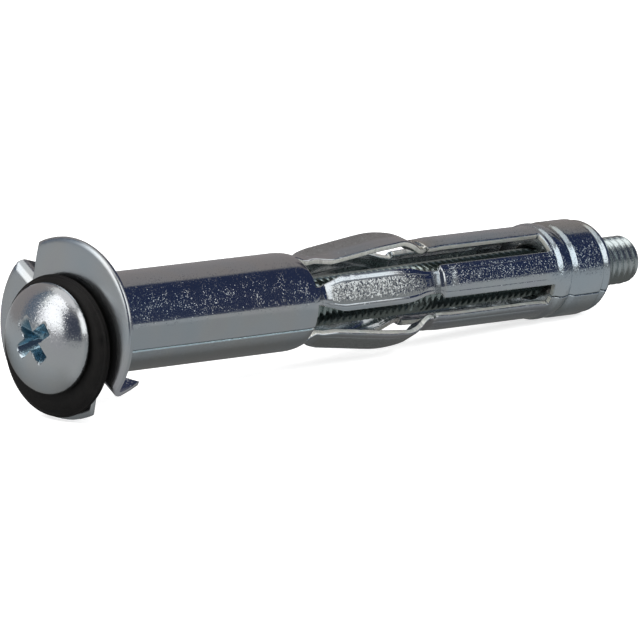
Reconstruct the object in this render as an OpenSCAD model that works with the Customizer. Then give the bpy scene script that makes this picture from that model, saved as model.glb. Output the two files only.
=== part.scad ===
// Hollow wall anchor: a folding sheet steel sleeve with its nut, screw and rubber ring, lying on its side.
// Sizes are in millimetres. Each piece is drawn along +Z from the wall face, then laid down along +X.

/* [Sleeve] */
// Thickness of the sheet
sheet = 0.5; // [0.4:0.05:0.6]
// Outside radius of the barrel
barrel_r = 3.9; // [3.7:0.05:4.3]
// Length of the plain barrel behind the wall face
barrel_l = 23.6; // [15:0.2:35]
// Inside radius of the sheet's bends
bend_r = 0.3; // [0.25:0.05:0.4]
// Turn of the rolled seam from the first leg
seam_turn = 38.5; // [34:0.5:40]
// Width of the rolled seam
seam_gap = 0.08; // [0.04:0.01:0.2]
// Turn of the sleeve about its axis, as it lies
roll = 166.5; // [0:0.5:360]

/* [Flange] */
// Outside radius of the flange
flange_r = 7.05; // [6.8:0.05:7.6]
// Gap between the barrel and a lobe's straight cut
cut_gap = 0.1; // [0:0.05:0.3]
// Turn of the cut's normal from the first leg
cut_turn = 22; // [0:1:70]
// Length along the cut from its foot to the notch
notch_run = 2.85; // [2.5:0.05:3.1]
// Angle between the cut's normal and the barb's fold
fold_skew = 26; // [15:1:32]
// Angle that a barb is folded back by
barb_angle = 98; // [80:1:105]
// Length of a barb beyond its fold
barb_l = 2.4; // [1.6:0.1:2.8]

/* [Legs] */
// Number of folding legs
leg_n = 5; // [4:1:5]
// Length from the plain barrel to the slots' front
shoulder_l = 0.4; // [0.3:0.05:0.8]
// Length of the taper from barrel to neck
neck_l = 2; // [1.6:0.1:2.6]
// Depth of the neck below the barrel
neck_in = 0.45; // [0.3:0.05:0.6]
// Length of the plate's rise from neck to crest
rise_l = 8.7; // [7:0.1:12]
// Length of the crest
crest_l = 2.4; // [1.6:0.1:3]
// Height of the crest's flat above the barrel
crest_out = 0.5; // [0.1:0.01:0.6]
// Length of the fall from crest to kink
fall_l = 1.6; // [1.4:0.1:3]
// Depth of the kink below the barrel
kink_in = 0.55; // [0.4:0.05:0.65]
// Length from the kink to the strip
kink_l = 0.8; // [0.7:0.05:1.4]
// Half width of a leg's plate
plate_half_w = 1.43; // [1.2:0.05:1.55]
// Half width of a leg's root
root_half_w = 0.76; // [0.6:0.02:1]
// Half width of a leg between its plate and its kink
waist_half_w = 0.95; // [0.7:0.05:1.15]
// Length over which a plate narrows to its root or waist
plate_taper_l = 2.1; // [1.6:0.1:2.6]
// Length of the waist ahead of the kink
waist_l = 2.3; // [1:0.1:3]
// Length by which a plate's taper starts ahead of the neck
plate_lead = 0.7; // [0:0.1:1]

/* [Rear strips and collar] */
// Depth of the strips below the collar
strip_in = 0.15; // [0.05:0.01:0.2]
// Length of the strips up to the slots' end
strip_l = 12.8; // [8:0.2:18]
// Angle of one slot
slot_angle = 29; // [24:1:34]
// Plain length between the slots and the collar's step
step_land = 0.35; // [0.1:0.05:0.6]
// Length of the step up to the collar
step_l = 0.3; // [0.2:0.05:0.6]
// Length of the collar's bead
bead_l = 1.05; // [0.8:0.05:2]
// Width of the crimped groove
groove_w = 0.8; // [0.6:0.05:1.2]
// Depth of the crimped groove
groove_d = 0.18; // [0.1:0.01:0.22]
// Length of the collar behind the groove
collar_l = 3.6; // [2.5:0.05:6]
// Outside radius of the lip that is rolled in at the collar's end
lip_r = 1.45; // [1:0.05:1.6]
// Angle that the lip turns in by
lip_sweep = 60; // [45:1:65]

/* [Nut] */
// Radial gap between the nut and the collar
crimp_clear = 0.02; // [0.01:0.01:0.03]
// Radial gap between the collar's lip and the nut's nose
nose_clear = 0.075; // [0.05:0.005:0.2]
// Length of the nose beyond the collar's lip
nose_l = 0.6; // [0.4:0.05:2]
// Chamfer of the nut's edges
nut_chamfer = 0.2; // [0.1:0.05:0.3]

/* [Screw] */
// Outside radius of the thread
thread_r = 1.98; // [1.9:0.01:2.05]
// Radial running clearance of the thread in the nut
thread_clear = 0.06; // [0.05:0.01:0.08]
// Length of the thread beyond the nut
tip_l = 4.5; // [2:0.1:10]
// Chamfer at the thread's tip
tip_chamfer = 0.45; // [0.2:0.05:0.7]
// Radius of the head
head_r = 4.33; // [4:0.01:5]
// Height of the dome above the head's rim
dome_h = 1.86; // [1.4:0.02:2.4]
// Height of the rim below the dome
rim_h = 0.26; // [0.15:0.01:0.4]
// Tilt of the loose screw in the nut
droop_angle = 0.63; // [0:0.01:0.65]
// Radius of the cross recess
recess_r = 2.05; // [1.6:0.05:2.3]
// Width of the recess's arms
recess_w = 0.95; // [0.7:0.05:1.1]
// Depth of the recess
recess_depth = 1.75; // [1.4:0.05:1.9]
// Turn of the recess about the screw's axis
recess_turn = 52.3; // [0:0.1:90]

/* [Rubber ring] */
// Outside radius of the ring
ring_r = 5.52; // [5:0.01:6]
// Radius of the ring's hole
ring_hole_r = 2.67; // [2.4:0.01:3]
// Thickness of the ring
ring_t = 1.26; // [1:0.02:2]
// Rounding of the ring's edges
ring_round = 1; // [0.5:0.05:1.2]
// Axial gap on each face of the ring
ring_gap = 0.07; // [0.06:0.01:0.15]
// Radial gap where the ring hangs on the thread
hang_gap = 0.03; // [0.01:0.01:0.08]

/* [Hidden] */
$fn = 96;
// Points along one rounded corner of an outline
corner_n = 6;
// Steps of the dome's outline
dome_n = 14;
// Length by which joined stretches of the sheet run into each other
overlap = 0.5;
// Depth by which a leg's ends sink under the surface that they join
sink = 0.07;
zinc = [0.66, 0.68, 0.71];
zinc_dark = [0.5, 0.52, 0.56];
black_rubber = [0.06, 0.055, 0.05];

// Radii that follow the barrel and the thread
cut_offset = barrel_r + cut_gap;
neck_r = barrel_r - neck_in;
crest_r = barrel_r + crest_out;
kink_r = barrel_r - kink_in;
strip_r = barrel_r - strip_in;
lip_end_r = barrel_r - lip_r + (lip_r - sheet) * cos(lip_sweep);
nose_r = lip_end_r - nose_clear;
bore_r = thread_r + thread_clear;

// Places along the axis, counted from the wall face
neck_z = barrel_l + neck_l;
ring_end_z = barrel_l + shoulder_l;
neck_slope = neck_in / neck_l;
crest_z = neck_z + rise_l;
fall_z = crest_z + crest_l;
kink_z = fall_z + fall_l;
strip_z = kink_z + kink_l;
slot_end_z = strip_z + strip_l;
collar_z = slot_end_z + step_land + step_l;
groove_z = collar_z + bead_l + groove_w / 2;
collar_end_z = groove_z + groove_w / 2 + collar_l;
lip_end_z = collar_end_z + lip_r * sin(lip_sweep);
nose_end_z = lip_end_z + nose_l;
tip_z = nose_end_z + tip_l;
nut_z = collar_z + crimp_clear;
nut_mid_z = (nut_z + nose_end_z) / 2;
ring_back_z = -sheet - ring_gap;
head_z = ring_back_z - ring_t - ring_gap;
apex_z = head_z - rim_h - dome_h;

// How the anchor lies: on the flange's rim and the collar's far edge
rim_z = -sheet / 2;
lie_angle = atan((flange_r - barrel_r) / (collar_end_z - rim_z));
lift = rim_z * sin(lie_angle) + flange_r * cos(lie_angle);
mid_x = (apex_z + tip_z) / 2 * cos(lie_angle);

// Points of an arc from angle a0 to a1
function arc(centre, r, a0, a1) =
    [for (i = [0:corner_n]) let (a = a0 + (a1 - a0) * i / corner_n) centre + r * [cos(a), sin(a)]];

// Points of a smooth corner from a to c, drawn towards b
function corner(a, b, c) =
    [for (i = [0:corner_n]) let (t = i / corner_n) (1 - t) * (1 - t) * a + 2 * t * (1 - t) * b + t * t * c];

function reversed(points) = [for (i = [len(points) - 1:-1:0]) points[i]];

// A strip of sheet whose outer line is given as [radius, place] points
function strip_of(outer) = concat(outer, reversed([for (p = outer) p - [sheet, 0]]));

module laid() {
    translate([-mid_x, 0, lift])
        rotate([0, lie_angle, 0])
            rotate([90, 0, 90])
                children();
}

module along_screw() {
    translate([0, 0, nut_mid_z])
        rotate([-droop_angle, 0, 0])
            translate([0, 0, -nut_mid_z])
                children();
}

// Flange, barrel and neck, turned from one line of sheet
module barrel_shell() {
    bend_centre = [barrel_r + bend_r, bend_r];
    rim_centre = [flange_r - sheet / 2, rim_z];
    end_r = barrel_r - neck_slope * shoulder_l;
    rotate_extrude()
        polygon(concat(
            [[end_r, ring_end_z], [barrel_r, barrel_l]],
            arc(bend_centre, bend_r, 180, 270),
            arc(rim_centre, sheet / 2, 90, -90),
            arc(bend_centre, bend_r + sheet, 270, 180),
            [[barrel_r - sheet, barrel_l], [end_r - sheet, ring_end_z]]));
}

// The fold of a barb: X runs out along the fold, Y leaves the lobe, Z points to the nose
fold_r = bend_r + sheet;
rim_run = sqrt(flange_r * flange_r - cut_offset * cut_offset);
fold_out = cut_offset * cos(fold_skew) + notch_run * sin(fold_skew);
fold_side = notch_run * cos(fold_skew) - cut_offset * sin(fold_skew);
fold_l = sqrt(flange_r * flange_r - fold_side * fold_side) - fold_out;
// Place of a barb's tip along its fold, and how far back its rounding starts
tip_share = 0.75;
tip_round = 0.35;
module at_fold() {
    rotate(cut_turn)
        translate([cut_offset, notch_run, 0])
            rotate(fold_skew)
                translate([0, -fold_r, 0])
                    children();
}

// The wedge of the flange that a barb was folded out of
module notch_wedge() {
    reach = flange_r;
    linear_extrude(4 * sheet, center = true)
        difference() {
            polygon([
                [cut_offset, 0],
                [cut_offset + reach, 0],
                [cut_offset + reach, rim_run + reach],
                [cut_offset, rim_run + reach]]);
            translate([cut_offset, notch_run])
                rotate(fold_skew)
                    translate([-2 * reach, -2 * reach - fold_r])
                        square([4 * reach, 2 * reach]);
        }
}

// A barb: the lobe's corner, folded back and tapering to a round tip
module barb() {
    tip = [barb_l, fold_l * tip_share];
    inner_edge = [0, 0];
    outer_edge = [0, fold_l];
    translate([0, 0, bend_r])
        rotate([90, 0, 90]) {
            rotate(-90)
                rotate_extrude(angle = barb_angle)
                    translate([bend_r, 0])
                        square([sheet, fold_l]);
            rotate(barb_angle - 90)
                translate([bend_r, 0, 0])
                    rotate([90, 0, 90])
                        linear_extrude(sheet)
                            polygon(concat(
                                [inner_edge],
                                corner(tip + tip_round * (inner_edge - tip), tip, tip + tip_round * (outer_edge - tip)),
                                [outer_edge]));
        }
}

// One folding leg's front plate, centred on +X
module leg_plate() {
    rise = (crest_r - neck_r) / rise_l;
    fall = (crest_r - kink_r) / fall_l;
    outer = concat(
        [[barrel_r - sink, ring_end_z - overlap]],
        corner([neck_r + neck_slope * overlap, neck_z - overlap], [neck_r, neck_z],
            [neck_r + rise * overlap, neck_z + overlap]),
        corner([crest_r - rise * crest_l, crest_z - crest_l], [crest_r, crest_z],
            [crest_r, crest_z + crest_l / 2]),
        corner([crest_r, crest_z + crest_l / 2], [crest_r, fall_z], [crest_r - fall * overlap, fall_z + overlap]),
        corner([kink_r + fall * overlap / 2, kink_z - overlap / 2], [kink_r, kink_z],
            [kink_r, kink_z + overlap / 2]),
        [[strip_r - sink, strip_z], [strip_r - 2 * sink, strip_z + overlap]]);
    front_z = neck_z - plate_lead;
    waist_z = kink_z - waist_l;
    half_outline = [
        [root_half_w, ring_end_z - 2 * overlap],
        [root_half_w, front_z],
        [plate_half_w, front_z + plate_taper_l],
        [plate_half_w, waist_z - plate_taper_l],
        [waist_half_w, waist_z],
        [waist_half_w, kink_z + overlap],
        [plate_half_w, strip_z],
        [plate_half_w, strip_z + 2 * overlap]];
    mirrored = reversed([for (p = half_outline) [-p.x, p.y]]);
    intersection() {
        rotate([90, 0, 0])
            linear_extrude(4 * plate_half_w, center = true)
                polygon(strip_of(outer));
        rotate([90, 0, 90])
            linear_extrude(2 * crest_r)
                polygon(concat(half_outline, mirrored));
    }
}

// Rear strips and collar, turned from one line of sheet and slotted between the legs
module collar_shell() {
    lip_centre = [barrel_r - lip_r, collar_end_z];
    line = [
        [strip_r, strip_z],
        [strip_r, slot_end_z + step_land],
        [barrel_r, collar_z],
        [barrel_r, collar_z + bead_l],
        [barrel_r - groove_d, groove_z],
        [barrel_r, groove_z + groove_w / 2]];
    difference() {
        rotate_extrude()
            polygon(concat(
                line,
                arc(lip_centre, lip_r, 0, lip_sweep),
                arc(lip_centre, lip_r - sheet, lip_sweep, 0),
                reversed([for (p = line) p - [sheet, 0]])));
        for (i = [0:leg_n - 1])
            rotate((i + 0.5) * 360 / leg_n)
                slot_wedge();
    }
}

module slot_wedge() {
    reach = 2 * strip_r;
    translate([0, 0, strip_z - overlap])
        linear_extrude(strip_l + overlap)
            polygon([
                [0, 0],
                [reach, -reach * tan(slot_angle / 2)],
                [reach, reach * tan(slot_angle / 2)]]);
}

module sleeve() {
    color(zinc)
        laid()
            rotate(roll)
                difference() {
                    union() {
                        difference() {
                            barrel_shell();
                            for (side = [0, 180])
                                rotate(side + cut_turn)
                                    notch_wedge();
                        }
                        for (side = [0, 180])
                            rotate(side)
                                at_fold()
                                    barb();
                        for (i = [0:leg_n - 1])
                            rotate(i * 360 / leg_n)
                                leg_plate();
                        collar_shell();
                    }
                    rotate(seam_turn)
                        seam_slit();
                }
}

// The seam runs down the barrel and the collar, between two legs
module seam_slit() {
    translate([neck_r - 2 * sheet, -seam_gap / 2, bend_r + sheet])
        cube([barrel_r, seam_gap, lip_end_z]);
}

module nut() {
    outer_r = barrel_r - sheet - crimp_clear;
    shoulder_z = collar_end_z - crimp_clear;
    chamfer = min(nut_chamfer, (nose_r - bore_r) / 3);
    color(zinc_dark)
        laid()
            rotate_extrude()
                polygon([
                    [bore_r + chamfer, nut_z],
                    [outer_r, nut_z],
                    [outer_r, collar_z + bead_l],
                    [outer_r - groove_d, groove_z],
                    [outer_r, groove_z + groove_w / 2],
                    [outer_r, shoulder_z],
                    [nose_r, shoulder_z],
                    [nose_r, nose_end_z - chamfer],
                    [nose_r - chamfer, nose_end_z],
                    [bore_r + chamfer, nose_end_z],
                    [bore_r, nose_end_z - chamfer],
                    [bore_r, nut_z + chamfer]]);
}

module screw() {
    dome = [for (i = [0:dome_n])
        let (a = 90 * i / dome_n) [head_r * sin(a), head_z - rim_h - dome_h * cos(a)]];
    color(zinc)
        laid()
            along_screw()
                difference() {
                    rotate_extrude()
                        polygon(concat(
                            dome,
                            [[head_r - rim_h, head_z],
                            [thread_r, head_z],
                            [thread_r, tip_z - tip_chamfer],
                            [thread_r - tip_chamfer, tip_z],
                            [0, tip_z]]));
                    cross_recess();
                }
}

// Four arms that slope in to the bottom of the recess
module cross_recess() {
    bottom_r = recess_w / 2;
    top_z = apex_z - recess_w;
    bottom_z = apex_z + recess_depth;
    spread = (recess_r - bottom_r) / recess_depth;
    intersection() {
        translate([0, 0, top_z])
            rotate(recess_turn)
                linear_extrude(bottom_z - top_z)
                    union() {
                        square([4 * recess_r, recess_w], center = true);
                        square([recess_w, 4 * recess_r], center = true);
                    }
        rotate_extrude()
            polygon([
                [0, top_z],
                [recess_r + spread * (apex_z - top_z), top_z],
                [bottom_r, bottom_z],
                [0, bottom_z]]);
    }
}

module rubber_ring() {
    mid_z = ring_back_z - ring_t / 2;
    front_z = ring_back_z - ring_t;
    drop = ring_hole_r - thread_r - hang_gap;
    color(black_rubber)
        laid()
            along_screw()
                translate([0, -drop, 0])
                    rotate_extrude()
                        polygon(concat(
                            [[ring_hole_r, front_z]],
                            corner([ring_r - ring_round, front_z], [ring_r, front_z], [ring_r, mid_z]),
                            corner([ring_r, mid_z], [ring_r, ring_back_z], [ring_r - ring_round, ring_back_z]),
                            [[ring_hole_r, ring_back_z]]));
}

sleeve();
nut();
screw();
rubber_ring();
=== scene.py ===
import math

import bmesh
import bpy
import numpy as np
from mathutils import Matrix


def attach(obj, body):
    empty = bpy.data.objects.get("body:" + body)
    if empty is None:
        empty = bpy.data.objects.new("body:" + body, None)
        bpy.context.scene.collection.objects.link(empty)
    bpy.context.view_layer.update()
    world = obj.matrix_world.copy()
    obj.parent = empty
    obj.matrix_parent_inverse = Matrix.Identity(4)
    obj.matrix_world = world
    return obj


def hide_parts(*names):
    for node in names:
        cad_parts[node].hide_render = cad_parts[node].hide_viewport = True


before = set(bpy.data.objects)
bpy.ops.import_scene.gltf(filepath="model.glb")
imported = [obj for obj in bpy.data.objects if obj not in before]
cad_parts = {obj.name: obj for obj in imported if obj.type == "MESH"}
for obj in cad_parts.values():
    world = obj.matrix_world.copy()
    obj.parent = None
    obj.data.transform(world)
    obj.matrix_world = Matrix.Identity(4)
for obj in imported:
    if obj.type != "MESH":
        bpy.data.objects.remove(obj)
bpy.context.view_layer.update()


# Sleeve: one blank of steel strip, punched, rolled to a tube and plated with bright zinc.
# Its front is flared to a flange of two lobes with a folded barb on each, its middle is slotted
# into five folding legs with coined plates, and its end is rolled in over the nut.

# Sizes in millimetres, places along the anchor's own axis from the wall face at 0, turns in degrees
sheet, bend_r, edge_round = 0.5, 0.3, 0.085
barrel_r, flange_r, foot_r, strip_r = 3.9, 7.05, 4.45, 3.75
barrel_end, kink_wall, slot_end, collar_end = 24.0, 38.67, 51.9, 58.0
barrel_taper, taper_start = 0.09, 23.0
leg_n, leg_step, root_half, strip_half = 5, 72, math.degrees(0.76 / barrel_r), 21.5
seam_turn, seam_gap, seam_flat, seam_start, flat_full = 38.5, 0.08, 9.0, 0.8, 4
cut_turn, cut_offset, fold_skew = 22.0, 4.0, 26.06
fold_foot_r, barb_angle, barb_l, barb_tip = 4.845, math.radians(98), 2.4, 1.62
step_start, step_l, step_h = 52.15, 0.55, 0.15
groove_d, groove_start, groove_run, groove_back, groove_rise = 0.18, 52.95, 0.93, 53.94, 0.51
rim_drop, rim_from, rim_w = 0.12, 6.68, 0.37
torn_depth, torn_turn = 0.12, 1.6
roll = math.radians(166.5)

# How the anchor lies: on the flange's rim and on the collar, nose down
apex_z, tip_z = -4.02, 64.36
lie = math.atan((flange_r - barrel_r) / (collar_end + sheet / 2))
lift = flange_r * math.cos(lie) - sheet / 2 * math.sin(lie)
mid_x = (apex_z + tip_z) / 2 * math.cos(lie)
as_laid = Matrix.Scale(0.001, 4) @ Matrix((
    (0, math.sin(lie), math.cos(lie), -mid_x),
    (1, 0, 0, 0),
    (0, math.cos(lie), -math.sin(lie), lift),
    (0, 0, 0, 1)))


def smooth(low, high, value):
    """A soft step from 0 at low to 1 at high."""
    t = np.clip((np.asarray(value, float) - low) / (high - low), 0, 1)
    return t * t * (3 - 2 * t)


def mesh_of_grids(name, grids, merge=0.003):
    """One mesh from grids of points (rows, columns, 3), joined where they meet."""
    points, faces, start = [], [], 0
    for grid in grids:
        n, m = grid.shape[:2]
        points.append(grid.reshape(-1, 3))
        index = start + np.arange(n * m).reshape(n, m)
        quads = np.stack([index[:-1, :-1], index[:-1, 1:], index[1:, 1:], index[1:, :-1]], -1)
        faces += quads.reshape(-1, 4).tolist()
        start += n * m
    mesh = bpy.data.meshes.new(name)
    mesh.from_pydata(np.concatenate(points).tolist(), [], faces)
    work = bmesh.new()
    work.from_mesh(mesh)
    bmesh.ops.remove_doubles(work, verts=work.verts, dist=merge)
    bmesh.ops.dissolve_degenerate(work, edges=work.edges, dist=merge / 10)
    work.to_mesh(mesh)
    work.free()
    return mesh


def shown(name, mesh, materials):
    """An object at the origin with that mesh, linked to the scene."""
    piece = bpy.data.objects.new(name, mesh)
    bpy.context.scene.collection.objects.link(piece)
    for place, material in enumerate(materials):
        if place < len(mesh.materials):
            mesh.materials[place] = material
        else:
            mesh.materials.append(material)
    return piece


def plain_mesh(piece, name):
    """The mesh of a piece with its modifiers applied; the piece itself goes."""
    evaluated = piece.evaluated_get(bpy.context.evaluated_depsgraph_get())
    mesh = bpy.data.meshes.new_from_object(evaluated)
    mesh.name = name
    bpy.data.objects.remove(piece)
    return mesh


def points_of(mesh):
    """The mesh's points, one a row."""
    points = np.zeros(len(mesh.vertices) * 3)
    mesh.vertices.foreach_get("co", points)
    return points.reshape(-1, 3)


def keep_shares(mesh, shares):
    """Named values at the mesh's points, for its material."""
    for label, values in shares.items():
        attribute = mesh.attributes.new(label, "FLOAT", "POINT")
        attribute.data.foreach_set("value", values.astype(np.float32))


def set_down(mesh, place, sharp):
    """Moves a mesh to its place and shades it smooth, but for edges past an angle."""
    mesh.transform(place)
    mesh.shade_smooth()
    mesh.set_sharp_from_angle(angle=math.radians(sharp))


def round_row(radius, angle, z):
    """Points round the axis, at angles in degrees."""
    angle = np.radians(angle)
    radius = np.broadcast_to(radius, angle.shape)
    return np.stack([radius * np.cos(angle), radius * np.sin(angle), np.full(angle.shape, float(z))], -1)


# Columns run round the tube from one side of the seam to the other, with a set on each leg
across = np.array([-1, -0.84, -0.68, -0.63, -0.58, -0.3, 0, 0.3, 0.58, 0.63, 0.68, 0.84, 1.0])
plate_at, groove_at = 0.6, 0.63


def columns(half):
    """Angles of the columns, for legs of that half width in degrees."""
    angles = list(np.linspace(seam_turn, leg_step - half, 7)[:-1])
    for k in range(1, leg_n + 1):
        middle = leg_step * k
        angles += list(middle + across * half)
        if k < leg_n:
            angles += list(np.linspace(middle + half, middle + leg_step - half, 11)[1:-1])
    angles += list(np.linspace(leg_step * leg_n + half, 360 + seam_turn, 7)[1:])
    return np.array(angles)


barrel_a, collar_a = columns(root_half), columns(strip_half)

# Near the flange the columns turn a little, to meet the corners of its lobes
flange_a = barrel_a.copy()
corner_fade = (1, 6)
notch_end = math.degrees(math.acos(cut_offset / flange_r))
for side in (0, 180):
    for corner in (cut_turn + fold_skew, cut_turn + notch_end):
        target = corner + side
        flange_a[1 + np.abs(flange_a[1:-1] - target).argmin()] = target


def seam_open(angles, amount):
    """The same columns, with the seam's two sides apart by the gap."""
    out = angles.copy()
    turn = math.degrees(seam_gap / 2 / barrel_r) * amount
    out[0] += turn
    out[-1] -= turn
    return out


def rolled(angles, amount):
    """Radius factor: the strip's edges stay flat beside the seam when the tube is rolled."""
    off = np.minimum(np.abs(angles - seam_turn), np.abs(angles - 360 - seam_turn))
    flat = np.clip(seam_flat - off, 0, seam_flat)
    return 1 + amount * (1 / np.cos(np.radians(flat)) - 1)


rows = [round_row(foot_r, flange_a, 0), round_row(barrel_r + bend_r, flange_a, 0)]
for step in range(1, 6):
    turn = math.radians(90 * step / 5)
    bend_reach = barrel_r + bend_r * (1 - math.sin(turn))
    rows.append(round_row(bend_reach, flange_a, bend_r * (1 - math.cos(turn))))
barrel_z = [0.55, 0.8, 0.81, 1.1, 1.6, 2.4, 3.6, 5, 7, 9, 12, 15, 18, 20, 21.5, 22.5]
end_z = [23, 23.3, 23.5, 23.7, 23.85, barrel_end]
for z in barrel_z + end_z:
    blend = smooth(*corner_fade, z)
    angles = seam_open(flange_a * (1 - blend) + barrel_a * blend, 1 if z > seam_start else 0)
    radius = barrel_r - barrel_taper * max(0, z - taper_start) ** 2
    peaked = float(smooth(seam_start, flat_full, z))
    rows.append(round_row(radius * rolled(angles, peaked), angles, z))
grids = [np.array(rows)]

# Lobes: each runs half a turn, from the other barb's notch along its straight cut to its own fold
ring_a = np.concatenate([flange_a[:-1], flange_a[:-1] + 360])
lobe_shares = np.array([0, 0.152, 0.2, 0.28, 0.4, 0.55, 0.7, 0.82, 0.92, 1.0])
barb_base = (foot_r + lobe_shares * (flange_r - foot_r))[1:]
barb_w = flange_r - fold_foot_r
spread = (barb_base - fold_foot_r) / barb_w
tip_round = 0.56 + 0.38 * np.sqrt(np.clip(1 - (2 * spread - 1) ** 2, 0, 1))
for side in (0, 180):
    begin = cut_turn + fold_skew + side
    angles = ring_a[(ring_a > begin - 0.01) & (ring_a < begin + 180.01)]
    from_cut = angles - cut_turn - side
    lobe_r = np.full(angles.shape, flange_r)
    near = from_cut < notch_end
    lobe_r[near] = cut_offset / np.cos(np.radians(from_cut[near]))
    rows = [round_row(foot_r + share * (lobe_r - foot_r), angles, 0) for share in lobe_shares]
    grids.append(np.array(rows)[::-1])
    # Barb: the lobe's corner, folded back past a right angle, narrowing to a round tip
    fold = math.radians(begin + 180)
    along = np.array([math.cos(fold), math.sin(fold), 0])
    away = np.array([-math.sin(fold), math.cos(fold), 0])
    back = np.array([0, 0, 1.0])
    rows = []
    for turn in np.linspace(0, barb_angle, 8):
        folded = bend_r * (math.sin(turn) * away + (1 - math.cos(turn)) * back)
        rows.append(barb_base[:, None] * along + folded)
    run = math.cos(barb_angle) * away + math.sin(barb_angle) * back
    for part in (0.18, 0.36, 0.54, 0.7, 0.85, 1.0):
        t = part * tip_round
        low, high = barb_tip * t, barb_w + (barb_tip - barb_w) * t
        place = fold_foot_r + low + spread * (high - low)
        rows.append(place[:, None] * along + folded + (t * barb_l)[:, None] * run)
    grids.append(np.array(rows))

# Legs: [place along the axis, height of the face, half width, flatness, edge drop]
leg_line = np.array([
    [barrel_end, 3.81, 0.7425, 0, 0],
    [24.3, 3.73, 0.75, 0.1, 0.0],
    [24.7, 3.585, 0.77, 0.3, 0.02],
    [25.05, 3.475, 0.85, 0.5, 0.04],
    [25.3, 3.45, 0.93, 0.7, 0.06],
    [25.45, 3.48, 0.98, 0.9, 0.07],
    [25.7, 3.60, 1.05, 1, 0.09],
    [26.0, 3.665, 1.14, 1, 0.1],
    [26.5, 3.73, 1.30, 1, 0.13],
    [27.0, 3.80, 1.43, 1, 0.14],
    [28.1, 3.93, 1.43, 1, 0.15],
    [30.0, 4.16, 1.43, 1, 0.15],
    [32.0, 4.40, 1.43, 1, 0.15],
    [32.8, 4.485, 1.43, 1, 0.15],
    [33.5, 4.53, 1.42, 1, 0.15],
    [34.2, 4.54, 1.36, 1, 0.14],
    [35.0, 4.515, 1.18, 1, 0.12],
    [35.6, 4.46, 1.04, 1, 0.1],
    [36.1, 4.37, 0.97, 1, 0.09],
    [36.6, 4.22, 0.95, 1, 0.08],
    [37.1, 4.02, 0.95, 1, 0.07],
    [37.5, 3.8, 0.95, 0.9, 0.06],
    [37.9, 3.57, 0.95, 0.8, 0.05],
    [38.2, 3.46, 0.95, 0.7, 0.05],
    [38.56, 3.38, 0.96, 0.55, 0.05],
    [38.62, 3.42, 1.0, 0.4, 0.06],
    [38.7, 3.6, 1.18, 0.2, 0.1],
    [38.76, 3.66, 1.29, 0.1, 0.13],
    [38.85, 3.68, 1.36, 0, 0.15],
    [39.0, 3.682, 1.39, 0, 0.15],
    [39.4, 3.685, 1.405, 0, 0.16],
    [39.6, 3.69, 1.406, 0, 0.16],
    [39.8, 3.704, 1.407, 0, 0.16],
    [40.0, 3.721, 1.407, 0, 0.16],
    [40.2, 3.737, 1.407, 0, 0.16],
    [40.4, 3.747, 1.407, 0, 0.16],
    [40.6, strip_r, 1.407, 0, 0.16],
    [50.8, strip_r, 1.407, 0, 0.16],
    [51.5, strip_r, 1.407, 0, 0.08],
    [slot_end, strip_r, 1.4072, 0, 0]])
leg_z = np.concatenate([
    np.arange(barrel_end, 28.0, 0.14), np.arange(28.0, 34.6, 0.4), np.arange(34.6, 38.2, 0.13),
    [38.2, 38.38, 38.5, 38.56, 38.62, 38.7, 38.76, 38.85, 39.0], np.arange(39.2, 40.7, 0.1),
    np.arange(40.9, 51.2, 0.6), [51.4, 51.6, 51.75, slot_end]])
leg_rows = np.stack([np.interp(leg_z, leg_line[:, 0], leg_line[:, k]) for k in range(5)], -1)
# The bends are rounded, but for the ends and the sharp wall of the kink
bent = (leg_z > barrel_end + 0.01) & (leg_z < slot_end - 0.1) & (np.abs(leg_z - kink_wall) > 0.35)
for k in range(1, 5):
    rounded = np.convolve(leg_rows[:, k], [0.25, 0.5, 0.25], "same")
    leg_rows[bent, k] = rounded[bent]

# The press leaves some plates a little askew, and the upper leg's edges less coined
askew = {1: -3.0, 2: 3.0, 3: 8.0}
askew_start, askew_end = (25.0, 27.4), (39.2, 37.0)
coining = {3: 0.4}
for k in range(leg_n):
    rows = []
    for z, height, half, flat, drop in leg_rows:
        lean = askew.get(k, 0.0) * smooth(*askew_start, z) * smooth(*askew_end, z)
        middle = math.radians(leg_step * (k + 1) + lean)
        out = np.array([math.cos(middle), math.sin(middle)])
        side = np.array([-math.sin(middle), math.cos(middle)])
        offset = across * half
        drop *= coining.get(k, 1.0)
        coined_drop = drop * np.clip((np.abs(across) - plate_at) / (1 - plate_at), 0, 1)
        coined_drop += 0.25 * drop * (np.abs(np.abs(across) - groove_at) < 0.01)
        turn = offset / height
        outward = flat * height + (1 - flat) * height * np.cos(turn) - coined_drop
        sideways = flat * offset + (1 - flat) * height * np.sin(turn)
        point = outward[:, None] * out + sideways[:, None] * side
        rows.append(np.concatenate([point, np.full((len(across), 1), z)], 1))
    grids.append(np.array(rows))

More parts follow.
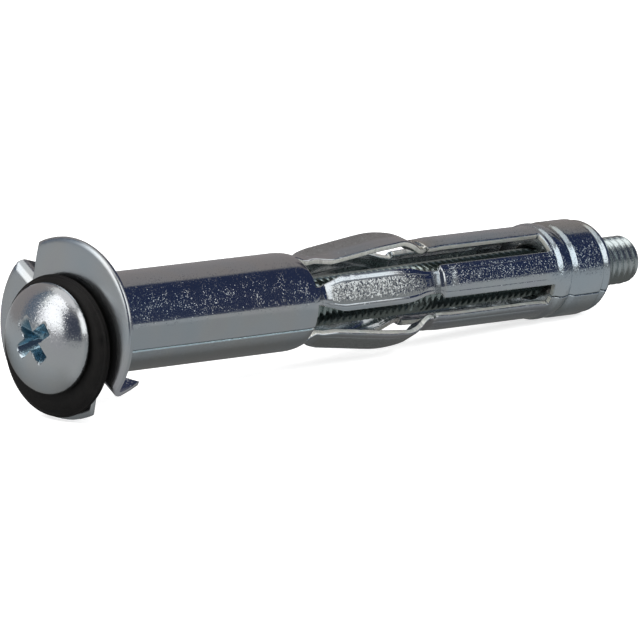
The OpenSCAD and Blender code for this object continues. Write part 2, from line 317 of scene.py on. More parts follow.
# Collar: a rounded step up from the strips, a crimped groove that rises steeply to the body, and a
# rolled-in lip behind a crease
collar_line = [(slot_end, strip_r), (52.0, strip_r), (52.1, 3.752)]
for t in np.linspace(0.1, 1, 9):
    collar_line.append((step_start + step_l * t, strip_r + step_h * float(smooth(0, 1, t))))
collar_line += [(52.8, barrel_r), (groove_start, barrel_r)]
for t in np.linspace(0.12, 1, 8):
    collar_line.append((groove_start + groove_run * t, barrel_r - groove_d * t ** 1.6))
for t in np.linspace(0, 1, 9):
    collar_line.append((groove_back + groove_rise * t, barrel_r - groove_d * (1 - float(smooth(0, 1, t)))))
collar_line += [(z, barrel_r) for z in (54.7, 55.6, 56.4, 57.0, 57.2)]
collar_line += [
    (57.35, 3.898), (57.45, 3.88), (57.53, 3.845), (57.59, 3.795), (57.64, 3.735), (57.69, 3.67),
    (57.74, 3.63), (57.8, 3.62), (57.87, 3.635), (57.95, 3.67), (58.05, 3.715), (58.15, 3.755),
    (58.24, 3.775), (58.33, 3.77), (58.42, 3.745), (58.52, 3.7), (58.64, 3.63), (58.78, 3.54),
    (58.94, 3.42), (59.1, 3.3), (59.26, 3.175)]
seam_a = seam_open(collar_a, 1)
peak_start, peak_end = (52.3, 53), (57.4, 56.4)
rows = []
for z, radius in collar_line:
    peaked = float(smooth(*peak_start, z) * smooth(*peak_end, z))
    rows.append(round_row(radius * rolled(seam_a, peaked), seam_a, z))
grids.append(np.array(rows))

blank = shown("sleeve_blank", mesh_of_grids("sleeve_blank", grids), [None, None])
wall = blank.modifiers.new("wall", "SOLIDIFY")
wall.thickness, wall.offset = sheet, -1
wall.use_quality_normals, wall.use_rim = True, True
wall.material_offset_rim = 1
ease = blank.modifiers.new("sheared edges", "BEVEL")
ease.width, ease.segments = edge_round, 3
ease.limit_method, ease.angle_limit = "ANGLE", math.radians(50)
ease.use_clamp_overlap = False
ease.material = 0
sleeve_mesh = plain_mesh(blank, "sleeve_shell")

# The flange's front is rolled over at its rim, where the punch drew it down
spots = points_of(sleeve_mesh)
reach = np.hypot(spots[:, 0], spots[:, 1])
front = (spots[:, 2] < -0.3) & (reach > 5)
spots[front, 2] += rim_drop * np.clip((reach[front] - rim_from) / rim_w, 0, 1) ** 2
sleeve_mesh.vertices.foreach_set("co", spots.ravel())

# Of the sheared edges, only the legs', the slots' and one lip of the seam stay torn
faces = sleeve_mesh.polygons
middles = np.zeros(len(faces) * 3)
faces.foreach_get("center", middles)
face_x, face_y, face_z = middles.reshape(-1, 3).T
torn_faces = np.zeros(len(faces), int)
faces.foreach_get("material_index", torn_faces)
torn_faces[(face_z < barrel_end + 0.02) | (face_z > slot_end + 0.02)] = 0
from_seam = (np.degrees(np.arctan2(face_y, face_x)) - seam_turn) % 360
outside = np.hypot(face_x, face_y) > barrel_r - torn_depth
torn_faces[(from_seam < torn_turn) & outside & (face_z > seam_start) & (face_z < barrel_end)] = 1
faces.foreach_set("material_index", torn_faces)

# Share of the coined plate at each point, where all crystals stand out: few do on the rolled tube
at_z = spots[:, 2]
around = np.arctan2(spots[:, 1], spots[:, 0])
turn = around - np.radians(np.round(np.degrees(around) / leg_step) * leg_step)
aside, height = np.abs(reach * np.sin(turn)), reach * np.cos(turn)
leg_height, leg_half = (np.interp(at_z, leg_rows[:, 0], leg_rows[:, k]) for k in (1, 2))
plate_start, plate_end, plate_side, plate_depth = (25.6, 25.9), (36.3, 35.4), (0.64, 0.57), (0.3, 0.15)
plate = smooth(*plate_side, aside / leg_half) * smooth(*plate_start, at_z)
plate *= smooth(*plate_end, at_z) * smooth(*plate_depth, leg_height - height)
# A golden tint painted on the side facing up, at the legs' kinks and on the collar: a painted warm reflection
kink_start, kink_end, crimped, top_side = (34.5, 36.5), (42, 38.5), (52.5, 54), (0.75, 0.98)
kink_gold, crimp_gold = 0.6, 0.5
warm_reflection = kink_gold * smooth(*kink_start, at_z) * smooth(*kink_end, at_z)
warm_reflection = np.maximum(warm_reflection, crimp_gold * smooth(*crimped, at_z))
upward = (spots[:, 0] * math.sin(roll) + spots[:, 1] * math.cos(roll)) / reach
warm_reflection *= smooth(*top_side, upward)
keep_shares(sleeve_mesh, {
    "plate": plate,
    "warm_reflection": warm_reflection,
    "flange": smooth(0.8, 0.3, at_z),
    "mottled": smooth(38.7, 39.3, at_z),
    "seam": smooth(barrel_end, 23.5, at_z)})
set_down(sleeve_mesh, as_laid @ Matrix.Rotation(roll, 4, "Z"), 40)


def feed(tree, socket, source):
    """Links a socket to another one, or sets its value."""
    if isinstance(source, bpy.types.NodeSocket):
        tree.links.new(source, socket)
    elif socket.type == "RGBA" and len(source) == 3:
        socket.default_value = (*source, 1)
    else:
        socket.default_value = source


def feed_all(tree, node, **sources):
    """Links or sets a node's inputs by their names."""
    for label, source in sources.items():
        feed(tree, node.inputs[label.replace("_", " ")], source)


def add(tree, kind, **settings):
    """A node with its properties set, and its inputs set or linked."""
    node = tree.nodes.new(kind)
    for label, setting in settings.items():
        if hasattr(node, label):
            setattr(node, label, setting)
        else:
            feed_all(tree, node, **{label: setting})
    return node


def node_group(name, inputs, outputs):
    """An empty shader node group with named sockets."""
    group = bpy.data.node_groups.new(name, "ShaderNodeTree")
    for label, kind, value in inputs:
        socket = group.interface.new_socket(label, in_out="INPUT", socket_type=kind)
        socket.default_value = value
    for label, kind in outputs:
        group.interface.new_socket(label, in_out="OUTPUT", socket_type=kind)
    return group, group.nodes.new("NodeGroupInput").outputs, group.nodes.new("NodeGroupOutput")


def in_object(tree):
    """Each point's own place on its piece."""
    return add(tree, "ShaderNodeTexCoord").outputs["Object"]


def share_of(tree, label):
    """The values kept at the mesh's points under a name."""
    return add(tree, "ShaderNodeAttribute", attribute_name=label).outputs["Fac"]


def ramp(tree, source, stops):
    """A colour ramp on a value."""
    node = add(tree, "ShaderNodeValToRGB", Fac=source)
    while len(node.color_ramp.elements) < len(stops):
        node.color_ramp.elements.new(0.5)
    for element, (place, colour) in zip(node.color_ramp.elements, stops):
        element.position = place
        element.color = (*colour, 1)
    return node.outputs["Color"]


def colour_mix(tree, share, first, second, blend="MIX"):
    """A colour mixed from two, by a share."""
    node = add(tree, "ShaderNodeMix", data_type="RGBA", blend_type=blend)
    for place, source in ((0, share), (6, first), (7, second)):
        feed(tree, node.inputs[place], source)
    return node.outputs[2]


def maths(tree, kind, operation, sources):
    """A maths node, its inputs fed in order."""
    node = add(tree, kind, operation=operation)
    for socket, source in zip(node.inputs, sources):
        feed(tree, socket, source)
    return node.outputs


def value_of(tree, operation, *sources):
    """A sum on values."""
    return maths(tree, "ShaderNodeMath", operation, sources)[0]


def vector_of(tree, operation, *sources):
    """A sum on vectors."""
    return maths(tree, "ShaderNodeVectorMath", operation, sources)["Vector"]


# Crystals of the zinc plate: a share of them stand tilted out of the surface and glint
crystals, into, outof = node_group(
    "zinc_crystals",
    [("Scale", "NodeSocketFloat", 7000.0), ("Share", "NodeSocketFloat", 0.1),
     ("Tilt", "NodeSocketFloat", 0.5)],
    [("Normal", "NodeSocketVector")])
cells = add(crystals, "ShaderNodeTexVoronoi", Vector=in_object(crystals), Scale=into["Scale"]).outputs
chance = add(crystals, "ShaderNodeTexWhiteNoise", Vector=cells["Position"]).outputs["Value"]
stands = value_of(crystals, "LESS_THAN", chance, into["Share"])
lean = vector_of(crystals, "SUBTRACT", cells["Color"], (0.5, 0.5, 0.5))
tilted = add(crystals, "ShaderNodeVectorMath", operation="SCALE", Vector=lean,
             Scale=value_of(crystals, "MULTIPLY", stands, into["Tilt"])).outputs["Vector"]
upright = add(crystals, "ShaderNodeNewGeometry").outputs["Normal"]
leaning = vector_of(crystals, "ADD", upright, tilted)
feed_all(crystals, outof, Normal=vector_of(crystals, "NORMALIZE", leaning))

# Passivation: a thin film over the zinc that shades from blue to brown and purple
film, into, outof = node_group(
    "passivation_film",
    [("Plate Color", "NodeSocketColor", (0.6, 0.62, 0.65, 1)), ("Film", "NodeSocketFloat", 0.3),
     ("Patch Scale", "NodeSocketFloat", 110.0)],
    [("Color", "NodeSocketColor")])
patch = add(film, "ShaderNodeTexNoise", Detail=2.0, Roughness=0.55, Vector=in_object(film),
            Scale=into["Patch Scale"])
shade = ramp(film, patch.outputs["Fac"], [
    (0.3, (0.80, 0.93, 1.0)), (0.45, (0.95, 0.98, 1.0)),
    (0.55, (1.0, 0.97, 0.92)), (0.7, (0.95, 0.86, 0.90))])
shaded = colour_mix(film, 1.0, into["Plate Color"], shade, "MULTIPLY")
feed_all(film, outof, Color=colour_mix(film, into["Film"], into["Plate Color"], shaded))


def new_material(name):
    """A node material with its Principled BSDF."""
    material = bpy.data.materials.new(name)
    material.use_nodes = True
    return material, material.node_tree, material.node_tree.nodes["Principled BSDF"]


def filmed(tree, colour, amount, patches):
    """Zinc of a colour under the film."""
    return add(tree, "ShaderNodeGroup", node_tree=film, Plate_Color=colour, Film=amount,
               Patch_Scale=patches).outputs["Color"]


def crystalline(tree, **values):
    """The surface's normal with the crystals on it."""
    return add(tree, "ShaderNodeGroup", node_tree=crystals, **values).outputs["Normal"]


def along_axis(tree, stretch):
    """Each point's place turned with the anchor's axis and stretched, for streaks and ribs."""
    return add(tree, "ShaderNodeMapping", Vector=in_object(tree), Rotation=(0, lie, 0),
               Scale=stretch).outputs["Vector"]


zinc_sheet, tree, surface = new_material("zinc_sheet_plate")
on_plate, on_flange, on_strips = (share_of(tree, label) for label in ("plate", "flange", "mottled"))
clean = filmed(tree, (0.55, 0.578, 0.597), 0.5, 160.0)
bluish = colour_mix(tree, on_strips, clean, colour_mix(tree, 1.0, clean, (0.95, 1.0, 1.03), "MULTIPLY"))
# Golden tint on the side facing up: a painted warm reflection
golden = colour_mix(tree, 1.0, bluish, (1.0, 0.86, 0.68), "MULTIPLY")
warm_reflected_plate = colour_mix(tree, share_of(tree, "warm_reflection"), bluish, golden)
dull = value_of(tree, "MULTIPLY", value_of(tree, "ADD", on_plate, on_flange), 0.12)
cloud = add(tree, "ShaderNodeTexNoise", Scale=700.0, Detail=1.0, Vector=in_object(tree))
few = add(tree, "ShaderNodeMapRange", From_Min=0.35, From_Max=0.7, To_Min=0.02, To_Max=0.22,
          Value=cloud.outputs["Fac"])
more = value_of(tree, "ADD", few.outputs["Result"], value_of(tree, "MULTIPLY", on_strips, 0.22))
off_flange = value_of(tree, "MULTIPLY", more, value_of(tree, "SUBTRACT", 1.0, on_flange))
size = add(tree, "ShaderNodeMapRange", To_Min=20000.0, To_Max=11500.0,
           Value=value_of(tree, "GREATER_THAN", on_plate, 0.5))
grain = crystalline(tree, Tilt=0.38, Scale=size.outputs["Result"],
                    Share=value_of(tree, "MAXIMUM", on_plate, off_flange))
streaks = add(tree, "ShaderNodeTexNoise", Scale=2600.0, Detail=2.0, Vector=along_axis(tree, (0.1, 1, 1)))
streaked = add(tree, "ShaderNodeBump", Strength=0.06, Distance=0.00004, Height=streaks.outputs["Fac"],
               Normal=grain)
feed_all(tree, surface, Metallic=1.0, Base_Color=colour_mix(tree, on_plate, warm_reflected_plate, (0.46, 0.485, 0.485)),
         Roughness=value_of(tree, "ADD", dull, 0.12), Normal=streaked.outputs["Normal"])

# Sheared edges: torn by the punch, with fine ribs across the thickness
sheared_edge, tree, surface = new_material("sheared_edge")
bright = filmed(tree, (0.88, 0.89, 0.84), 0.4, 420.0)
ribs = add(tree, "ShaderNodeTexNoise", Scale=4600.0, Detail=1.5, Roughness=0.5,
           Vector=along_axis(tree, (1, 0.15, 0.15)))
torn = add(tree, "ShaderNodeBump", Strength=1.0, Distance=0.0002, Height=ribs.outputs["Fac"])
feed_all(tree, surface, Metallic=0.75, Roughness=0.36, Normal=torn.outputs["Normal"],
         Base_Color=colour_mix(tree, share_of(tree, "seam"), bright, (0.52, 0.66, 0.71)))

sleeve = shown("sleeve_plated", sleeve_mesh, [zinc_sheet, sheared_edge])
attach(sleeve, "anchor")
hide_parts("sleeve")


# Nut: a turned steel bush, tapped M4 and plated, with a groove in its side that the collar is
# crimped into. Only its nose shows, as a pale ring round the thread.
nut_start, nut_shoulder, nose_end = 52.57, 57.3, 59.86
bush_r, nose_r, bore_r, nut_bevel, nut_round = 3.38, 2.85, 2.04, 0.2, 0.08
crimp_start, crimp_low, crimp_back, crimp_end = 52.85, 53.85, 53.95, 54.5
lathe_n = 96


def turned_mesh(name, line, n=lathe_n, closed=True):
    """A mesh turned round the axis from [radius, place] points; closed joins the last to the first."""
    line = np.array(line + line[:1] if closed else line, float)
    angles = np.linspace(0, 360, n + 1)
    rows = [round_row(max(r, 0.0), angles, z) for r, z in line]
    return mesh_of_grids(name, [np.array(rows)], 0.0005)


def eased(points, radius, steps=4):
    """A closed outline with each corner rounded."""
    points = np.array(points, float)
    out = []
    for k in range(len(points)):
        here, before, after = points[k], points[k - 1], points[(k + 1) % len(points)]
        a, b = before - here, after - here
        cut = min(radius, 0.45 * np.linalg.norm(a), 0.45 * np.linalg.norm(b))
        start, end = here + a / np.linalg.norm(a) * cut, here + b / np.linalg.norm(b) * cut
        for t in np.linspace(0, 1, steps):
            out.append(tuple((1 - t) ** 2 * start + 2 * t * (1 - t) * here + t * t * end))
    return out


def faces_out(mesh):
    """Turns a closed mesh's faces outwards."""
    work = bmesh.new()
    work.from_mesh(mesh)
    bmesh.ops.recalc_face_normals(work, faces=work.faces)
    work.to_mesh(mesh)
    work.free()


nut_line = [
    (bore_r + nut_bevel, nut_start), (bush_r, nut_start), (bush_r, crimp_start),
    (bush_r - groove_d, crimp_low), (bush_r - groove_d, crimp_back), (bush_r, crimp_end),
    (bush_r, nut_shoulder), (nose_r, nut_shoulder), (nose_r, nose_end - nut_bevel),
    (nose_r - nut_bevel, nose_end), (bore_r + nut_bevel, nose_end), (bore_r, nose_end - nut_bevel),
    (bore_r, nut_start + nut_bevel)]
nut_mesh = turned_mesh("nut_turned", eased(nut_line, nut_round))
faces_out(nut_mesh)
set_down(nut_mesh, as_laid, 40)

zinc_nut, tree, surface = new_material("zinc_nut_plate")
feed_all(tree, surface, Metallic=1.0, Roughness=0.24,
         Base_Color=filmed(tree, (0.56, 0.565, 0.56), 0.5, 300.0),
         Normal=crystalline(tree, Scale=6000.0, Share=0.2, Tilt=0.4))

nut = shown("nut_plated", nut_mesh, [zinc_nut])
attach(nut, "anchor")
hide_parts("nut")


# Screw: cold-headed steel, M4, with a domed head, a stamped cross recess and a rolled right-hand
# thread along the whole shank, plated bright zinc. It sits loose in the nut, so its head droops.
head_z, head_r, dome_h, rim_h = -1.9, 4.33, 1.86, 0.26
recess_r, recess_half, recess_depth, recess_turn = 2.05, 0.475, 1.75, math.radians(52.3)
arm_extra, arm_narrowing, wall_out, wall_in, end_soft = 0.05, 0.06, 0.06, 0.04, 0.05
thread_r, pitch, thread_depth, tip_chamfer = 1.98, 0.7, 0.43, 0.45
thread_n, pitch_steps = 40, 8
thread_rows = int(math.ceil((tip_z - head_z) / pitch + 1) * pitch_steps)
core_r = thread_r - tip_chamfer
nut_mid, droop = 56.215, math.radians(0.63)
to_nut, from_nut = Matrix.Translation((0, 0, nut_mid)), Matrix.Translation((0, 0, -nut_mid))
along_screw = to_nut @ Matrix.Rotation(-droop, 4, "X") @ from_nut

# The plating is painted darker and greener where the sleeve hides the shank, and less so at the tip: a
# painted shade. In the recess it is painted a darker teal: a painted shade too
zinc_screw, tree, surface = new_material("zinc_screw_plate")
in_recess, shade_on_shank = share_of(tree, "recess"), share_of(tree, "shank")
shaded_plate = colour_mix(tree, shade_on_shank, filmed(tree, (0.59, 0.622, 0.64), 0.4, 180.0), (0.36, 0.42, 0.405))
glints = add(tree, "ShaderNodeMapRange", To_Min=0.35, To_Max=0.9, Value=in_recess).outputs["Result"]
on_head = value_of(tree, "MULTIPLY", glints, value_of(tree, "SUBTRACT", 1.0, shade_on_shank))
# Base colour: painted shade on the hidden shank, and the recess painted a darker teal as its shade
feed_all(tree, surface, Metallic=1.0, Roughness=0.2,
         Base_Color=colour_mix(tree, in_recess, shaded_plate, (0.32, 0.46, 0.54)),
         Normal=crystalline(tree, Scale=16000.0, Tilt=0.18, Share=on_head))

# Head: a square patch of lines gathered at the recess's walls, then a ring out to the rim
wall_lines = recess_half + np.array([-0.1, -0.06, -0.03, 0, 0.03, 0.06, 0.1])
half_lines = np.concatenate([
    [0, 0.1, 0.2, 0.29], wall_lines, [0.68, 0.82, 1.0, 1.18, 1.36, 1.54, 1.72, 1.88, 2.05]])
lines = np.concatenate([-half_lines[:0:-1], half_lines])


def dome(reach):
    """Place of the dome's face along the axis."""
    return head_z - rim_h - dome_h * np.sqrt(np.clip(1 - (reach / head_r) ** 2, 0, 1))


def head_face(x, y):
    """The dome with the cross recess sunk into it: its arms narrow and end softly."""
    reach = np.hypot(x, y)
    top = dome(reach)
    floor = apex_z + np.clip((recess_r - reach) * recess_depth / (recess_r - recess_half), -1, recess_depth)
    taper = recess_half + arm_extra - arm_narrowing * np.clip((floor - top) / recess_depth, 0, 1)
    arm_x, arm_y = (smooth(taper + wall_out, taper - wall_in, np.abs(off)) for off in (x, y))
    sunk = np.clip(floor - top, 0, None)
    return top + np.maximum(arm_x, arm_y) * (sunk * sunk / (sunk + end_soft))


x, y = np.meshgrid(lines, lines)
core = np.stack([x, y, head_face(x, y)], -1)
m = len(lines) - 1
border = [(0, k) for k in range(m)] + [(k, m) for k in range(m)] + [(m, k) for k in range(m, 0, -1)]
border += [(k, 0) for k in range(m, -1, -1)]
inner = np.array([[lines[j], lines[i]] for i, j in border])
even = np.radians(np.linspace(-135, 225, len(border)))
outer = head_r * np.stack([np.cos(even), np.sin(even)], -1)
rows = []
for t in np.concatenate([np.linspace(0, 0.8, 12), [0.85, 0.89, 0.925, 0.955, 0.975, 0.99, 1]]):
    between = inner + t * (outer - inner)
    rows.append(np.concatenate([between, head_face(between[:, 0], between[:, 1])[:, None]], 1))
under = [
    (head_r, head_z - rim_h + 0.05), (head_r - 0.03, head_z - rim_h + 0.11), (head_r - 0.1, head_z - 0.1),
    (head_r - 0.2, head_z - 0.03), (head_r - 0.32, head_z), (3.2, head_z), (2.4, head_z), (core_r, head_z)]
for radius, z in under:
    rows.append(round_row(radius, np.degrees(even), z))
head_mesh = mesh_of_grids("head", [core, np.array(rows)[::-1]], 0.0005)
head_mesh.transform(Matrix.Rotation(recess_turn, 4, "Z"))

# Thread: rows of a grid follow the helix, so crest and root stay crisp
thread_inputs = [
    ("Radius", "NodeSocketFloat", thread_r), ("Pitch", "NodeSocketFloat", pitch),
    ("Depth", "NodeSocketFloat", thread_depth), ("Start", "NodeSocketFloat", head_z),
    ("End", "NodeSocketFloat", tip_z), ("Chamfer", "NodeSocketFloat", tip_chamfer),
    ("Rows", "NodeSocketInt", thread_rows), ("Sides", "NodeSocketInt", thread_n),
    ("Steps", "NodeSocketInt", pitch_steps), ("Plate", "NodeSocketMaterial", zinc_screw)]
thread_tree = bpy.data.node_groups.new("rolled_thread", "GeometryNodeTree")
for label, kind, value in thread_inputs:
    thread_tree.interface.new_socket(label, in_out="INPUT", socket_type=kind)
thread_tree.interface.new_socket("Geometry", in_out="OUTPUT", socket_type="NodeSocketGeometry")
sizes = thread_tree.nodes.new("NodeGroupInput").outputs
outof = thread_tree.nodes.new("NodeGroupOutput")


def calc(operation, *sources):
    """A sum in the thread's tree."""
    return value_of(thread_tree, operation, *sources)


per_row = calc("ADD", sizes["Sides"], 1.0)
grid = add(thread_tree, "GeometryNodeMeshGrid", Size_X=1.0, Size_Y=1.0,
           Vertices_X=calc("ADD", sizes["Rows"], 1.0), Vertices_Y=per_row)
number = add(thread_tree, "GeometryNodeInputIndex").outputs[0]
row = calc("FLOOR", calc("DIVIDE", calc("ADD", number, 0.5), per_row))
turns = calc("DIVIDE", calc("SUBTRACT", number, calc("MULTIPLY", row, per_row)), sizes["Sides"])
turn = calc("MULTIPLY", turns, 2 * math.pi)
climb = calc("MULTIPLY", sizes["Pitch"], calc("ADD", calc("DIVIDE", row, sizes["Steps"]), turns))
climb = calc("ADD", calc("SUBTRACT", sizes["Start"], sizes["Pitch"]), climb)
climb = calc("MINIMUM", calc("MAXIMUM", climb, sizes["Start"]), sizes["End"])
phase = calc("FRACT", calc("DIVIDE", calc("ADD", row, 0.001), sizes["Steps"]))
flank = calc("ABSOLUTE", calc("SUBTRACT", phase, 0.5))
cut = calc("SUBTRACT", 0.5, calc("MULTIPLY", calc("COSINE", calc("MULTIPLY", flank, 2 * math.pi)), 0.5))
width = calc("SUBTRACT", sizes["Radius"], calc("MULTIPLY", sizes["Depth"], cut))
end_width = calc("SUBTRACT", sizes["Radius"], sizes["Chamfer"])
width = calc("MINIMUM", width, calc("ADD", end_width, calc("SUBTRACT", sizes["End"], climb)))
width = calc("MINIMUM", width, calc("ADD", end_width, calc("SUBTRACT", climb, sizes["Start"])))
on_helix = add(thread_tree, "ShaderNodeCombineXYZ", X=calc("MULTIPLY", width, calc("COSINE", turn)),
               Y=calc("MULTIPLY", width, calc("SINE", turn)), Z=climb)
moved = add(thread_tree, "GeometryNodeSetPosition", Geometry=grid.outputs["Mesh"],
            Position=on_helix.outputs[0])
merged = add(thread_tree, "GeometryNodeMergeByDistance", Geometry=moved.outputs[0], Distance=0.002)
real = add(thread_tree, "GeometryNodeRealizeInstances", Geometry=merged.outputs[0])
plated = add(thread_tree, "GeometryNodeSetMaterial", Geometry=real.outputs[0], Material=sizes["Plate"])
feed_all(thread_tree, outof, Geometry=plated.outputs[0])

shank = shown("shank", bpy.data.meshes.new("shank"), [])
maker = shank.modifiers.new("rolled thread", "NODES")
maker.node_group = thread_tree
sockets = thread_tree.interface.items_tree
identifiers = {item.name: item.identifier for item in sockets if item.in_out == "INPUT"}
for label, kind, value in thread_inputs:
    maker[identifiers[label]] = value
thread_mesh = plain_mesh(shank, "thread")
cap_line = [
    (core_r, tip_z), (core_r - 0.12, tip_z), (0.9, tip_z - 0.05), (0.4, tip_z - 0.09), (0, tip_z - 0.1)]
cap_mesh = turned_mesh("tip", cap_line, thread_n, False)

# The three stretches are one piece of metal: joined, then turned to the screw's own place
joined = bmesh.new()
for stretch in (head_mesh, thread_mesh, cap_mesh):
    joined.from_mesh(stretch)
bmesh.ops.remove_doubles(joined, verts=joined.verts, dist=0.002)
bmesh.ops.recalc_face_normals(joined, faces=joined.faces)
screw_mesh = bpy.data.meshes.new("screw_rolled")
joined.to_mesh(screw_mesh)
joined.free()
spots = points_of(screw_mesh)
at_z, reach = spots[:, 2], np.hypot(spots[:, 0], spots[:, 1])
sunk_from, hidden_start, hidden_end, tip_shade = (0.02, 0.25), (-1.2, 0), (59.6, 58.6), 0.45
# Shares of the painted shade: in the recess, and on the shank inside the sleeve, less at the tip
keep_shares(screw_mesh, {
    "recess": smooth(*sunk_from, at_z - dome(reach)) * (at_z < head_z - 0.02) * (reach < 2.2),
    "shank": smooth(*hidden_start, at_z) * (tip_shade + (1 - tip_shade) * smooth(*hidden_end, at_z))})
set_down(screw_mesh, as_laid @ along_screw, 50)

screw = shown("screw_plated", screw_mesh, [zinc_screw])
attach(screw, "screw")
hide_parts("screw")


# Rubber ring: a moulded black ring, loose on the shank between head and flange.
# It hangs on the thread, and its outside shows the thin lips of its mould.
hole_r, ring_back, ring_t = 2.67, -0.57, 1.26
ring_front = ring_back - ring_t
side_r, side_bulge, side_from = 4.86, 0.56, 0.06
lips, lip_h, lip_w = (0.3, 0.52, 0.75), 0.1, 0.035
ring_drop = hole_r - thread_r - 0.03
ring_line = [(hole_r, ring_back), (hole_r, ring_front), (4.4, ring_front), (4.75, ring_front + 0.03)]
for t in np.linspace(0, 1, 49):
    lip = sum(lip_h * math.exp(-((t - ridge) / lip_w) ** 2) for ridge in lips)
    bulge = math.sin(math.pi * t) ** 0.55
    side_z = ring_front + side_from + (ring_t - 2 * side_from) * t
    ring_line.append((side_r + side_bulge * bulge + lip, side_z))
ring_line += [(4.75, ring_back - 0.03), (4.4, ring_back)]
ring_mesh = turned_mesh("rubber_ring_turned", ring_line, 128)
faces_out(ring_mesh)
set_down(ring_mesh, as_laid @ along_screw @ Matrix.Translation((0, -ring_drop, 0)), 45)

black_rubber, tree, surface = new_material("black_moulded_rubber")
where = in_object(tree)
bloom = add(tree, "ShaderNodeTexNoise", Scale=900.0, Detail=4.0, Roughness=0.6, Vector=where).outputs["Fac"]
matt = add(tree, "ShaderNodeMapRange", From_Min=0.3, From_Max=0.7, To_Min=0.42, To_Max=0.6, Value=bloom)
moulded = add(tree, "ShaderNodeTexNoise", Scale=5000.0, Detail=2.0, Vector=where)
pores = add(tree, "ShaderNodeBump", Strength=0.25, Distance=0.00006, Height=moulded.outputs["Fac"])
black = ramp(tree, bloom, [(0.3, (0.003, 0.0028, 0.0026)), (0.7, (0.008, 0.0073, 0.0068))])
feed_all(tree, surface, Specular_IOR_Level=0.22, Base_Color=black, Roughness=matt.outputs["Result"],
         Normal=pores.outputs["Normal"])

ring = shown("rubber_ring_moulded", ring_mesh, [black_rubber])
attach(ring, "ring")
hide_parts("rubber_ring")


# Stage: a white floor, and a tent of cloth and soft boxes that only the plating mirrors.
# The floor keeps the anchor's soft shadow, and the lamps light the rubber and the floor.
def facing(azimuth, elevation):
    """The way to a place on the tent: azimuth 0 is the front, 90 is the nose's side."""
    azimuth, elevation = math.radians(azimuth), math.radians(elevation)
    level = math.cos(elevation)
    return np.array([math.sin(azimuth) * level, -math.cos(azimuth) * level, math.sin(elevation)])


def mirrored_only(piece):
    """A stage piece that is seen in reflections and nowhere else."""
    piece.visible_camera = False
    piece.visible_diffuse = False
    piece.visible_shadow = False
    piece.visible_transmission = False


def glowing(name):
    """A material with an Emission shader and nothing else."""
    material = bpy.data.materials.new(name)
    material.use_nodes = True
    tree = material.node_tree
    tree.nodes.clear()
    glow = add(tree, "ShaderNodeEmission")
    add(tree, "ShaderNodeOutputMaterial", Surface=glow.outputs[0])
    return material, tree, glow


def soft_share(tree, borders):
    """Share of a patch with soft borders: each is a value, where the patch starts and where it is full."""
    share = 1.0
    for value, outside, inside in borders:
        fade = add(tree, "ShaderNodeMapRange", interpolation_type="SMOOTHSTEP", From_Min=outside,
                   From_Max=inside, Value=value)
        share = value_of(tree, "MULTIPLY", fade.outputs["Result"], share)
    return share


def square(name, half, z):
    """A level square round the origin."""
    mesh = bpy.data.meshes.new(name)
    corners = [(-half, -half, z), (half, -half, z), (half, half, z), (-half, half, z)]
    mesh.from_pydata(corners, [], [(0, 1, 2, 3)])
    return mesh


# Patches of the tent: [azimuth from and to, elevation from and to, soft edge, colour]
tent_base = (0.26, 0.26, 0.265)
navy, lamp_white, window_white = (0.025, 0.036, 0.085), (1.8, 1.8, 1.8), (1.5, 1.5, 1.5)
tent_patches = [
    ((-150, 210), (60, 100), 8, (0.9, 0.9, 0.9)),
    ((96, 215), (-5, 58), 7, (0.31, 0.285, 0.285)),
    ((-92, -26), (-5, 46), 9, (0.06, 0.068, 0.10)),
    ((42, 64), (-5, 24), 3, navy),
    ((48, 64), (-5, 38), 4, navy),
    ((61, 95), (-5, 50), 4, navy),
    ((88, 114), (-5, 14), 5, navy),
    ((80, 96), (48, 62), 4, navy),
    ((97, 110), (20, 33), 3, (0.04, 0.042, 0.05)),
    ((-170, -129), (4, 58), 8, (0.12, 0.16, 0.22)),
    ((-126, -91), (6, 40), 10, lamp_white),
    ((-126, -76), (38, 64), 10, lamp_white),
    ((-16, 40), (12, 27), 5, window_white),
    ((-16, 47), (25, 52), 5, window_white)]
tent_r, tent_turn = 1.6, 30
tent_cloth, tree, glow = glowing("tent_cloth")
way = vector_of(tree, "NORMALIZE", in_object(tree))


def part_along(direction):
    """How far the way to a place on the tent goes along a direction."""
    return maths(tree, "ShaderNodeVectorMath", "DOT_PRODUCT", (way, direction))["Value"]


turned = value_of(tree, "ARCTAN2", part_along(facing(tent_turn + 90, 0)), part_along(facing(tent_turn, 0)))
azimuth = value_of(tree, "ADD", value_of(tree, "DEGREES", turned), tent_turn)
elevation = value_of(tree, "DEGREES", value_of(tree, "ARCSINE", part_along((0, 0, 1))))
shade = tent_base
for azimuths, elevations, soft, colour in tent_patches:
    borders = []
    for angle, (low, high) in ((azimuth, azimuths), (elevation, elevations)):
        borders.append((angle, low - soft / 2, low + soft / 2))
        borders.append((angle, high + soft / 2, high - soft / 2))
    shade = colour_mix(tree, soft_share(tree, borders), shade, colour)
feed_all(tree, glow, Color=shade)
tent_rows = []
for height in np.radians(range(0, 91, 6)):
    tent_rows.append(round_row(tent_r * math.cos(height), np.linspace(0, 360, 49), tent_r * math.sin(height)))
tent = shown("tent", mesh_of_grids("tent", [np.array(tent_rows)], 0.0005), [tent_cloth])
mirrored_only(tent)

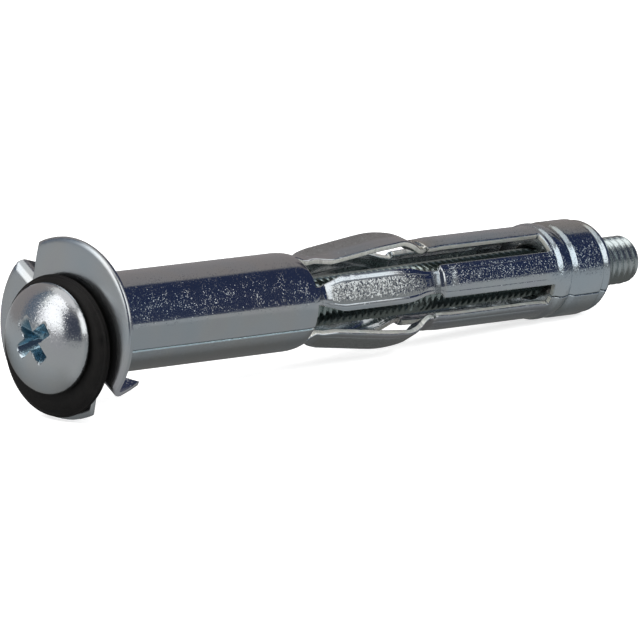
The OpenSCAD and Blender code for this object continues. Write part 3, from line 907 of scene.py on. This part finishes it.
# The table, as the plating mirrors it: pale in front, and dark where the anchor shades it
table_half, table_z = 1.7, 0.00005
table_paper, tree, glow = glowing("table_paper")
on_x, on_y, _ = add(tree, "ShaderNodeSeparateXYZ", Vector=in_object(tree)).outputs
by_barrel = soft_share(tree, ((on_x, -0.036, -0.03), (on_x, 0.022, 0.008), (on_y, 0.0, -0.003)))
in_shade = soft_share(tree, (
    (on_y, -0.006, -0.002), (on_y, 0.05, 0.02), (on_x, -0.045, -0.025), (on_x, 0.3, 0.2)))
past_nose = soft_share(tree, ((on_x, 0.06, 0.1), (on_y, -0.09, -0.06), (on_y, 0.3, 0.2)))
pale = colour_mix(tree, by_barrel, (0.43, 0.437, 0.443), (0.35, 0.362, 0.37))
dim = colour_mix(tree, in_shade, pale, (0.145, 0.145, 0.142))
feed_all(tree, glow, Color=colour_mix(tree, past_nose, dim, (0.05, 0.056, 0.08)))
table = shown("table", square("table", table_half, table_z), [table_paper])
mirrored_only(table)


def looked_at(tree):
    """1 on rays that show the stage, straight, mirrored or let through, and 0 on spread light."""
    rays = add(tree, "ShaderNodeLightPath").outputs
    seen = value_of(tree, "ADD", rays["Is Camera Ray"], rays["Is Glossy Ray"])
    return value_of(tree, "MINIMUM", value_of(tree, "ADD", seen, rays["Is Transmission Ray"]), 1.0)


floor_half, floor_glow = 3, 0.7
white_floor, tree, glow = glowing("white_floor")
feed_all(tree, glow, Strength=value_of(tree, "MULTIPLY", looked_at(tree), floor_glow))
both = add(tree, "ShaderNodeAddShader")
paint = add(tree, "ShaderNodeBsdfDiffuse", Color=(0.8, 0.8, 0.8))
for socket, shader in zip(both.inputs, (paint, glow)):
    feed(tree, socket, shader.outputs[0])
feed_all(tree, tree.nodes["Material Output"], Surface=both.outputs[0])
floor = shown("floor", square("floor", floor_half, 0), [white_floor])

world = bpy.data.worlds.new("studio")
bpy.context.scene.world = world
world.use_nodes = True
tree = world.node_tree
level = add(tree, "ShaderNodeMapRange", To_Min=0.4, To_Max=1.0, Value=looked_at(tree))
feed_all(tree, tree.nodes["Background"], Color=(1, 1, 1), Strength=level.outputs["Result"])


def aimed(right, up, back, place):
    """A lamp's or camera's place from its three ways."""
    return Matrix([(right[k], up[k], back[k], place[k]) for k in range(3)] + [(0, 0, 0, 1)])


def soft_box(name, azimuth, elevation, away, size, power):
    """A square area lamp aimed at the anchor, for the rubber and the floor."""
    lamp = bpy.data.lights.new(name, "AREA")
    lamp.shape, lamp.size, lamp.energy = "SQUARE", size, power
    box = bpy.data.objects.new(name, lamp)
    bpy.context.scene.collection.objects.link(box)
    box.visible_glossy = False
    back = facing(azimuth, elevation)
    right = np.cross((0, 0, 1.0), back)
    right /= np.linalg.norm(right)
    box.matrix_world = aimed(right, np.cross(back, right), back, away * back)


soft_box("key_box", -100, 45, 0.7, 0.35, 3.0)
soft_box("front_box", 12, 35, 0.7, 0.35, 3.0)

camera = bpy.data.objects.new("camera", bpy.data.cameras.new("camera"))
bpy.context.scene.collection.objects.link(camera)
camera.data.sensor_width, camera.data.lens = 36.0, 518.9
camera.data.clip_start, camera.data.clip_end = 0.01, 20.0
camera.matrix_world = aimed(
    (0.68613, -0.72748, 0.0), (0.13896, 0.13106, 0.98159), (-0.71408, -0.67350, 0.19101),
    (-0.52148, -0.48992, 0.14261))
bpy.context.scene.camera = camera
bpy.context.scene.view_settings.view_transform = "Standard"
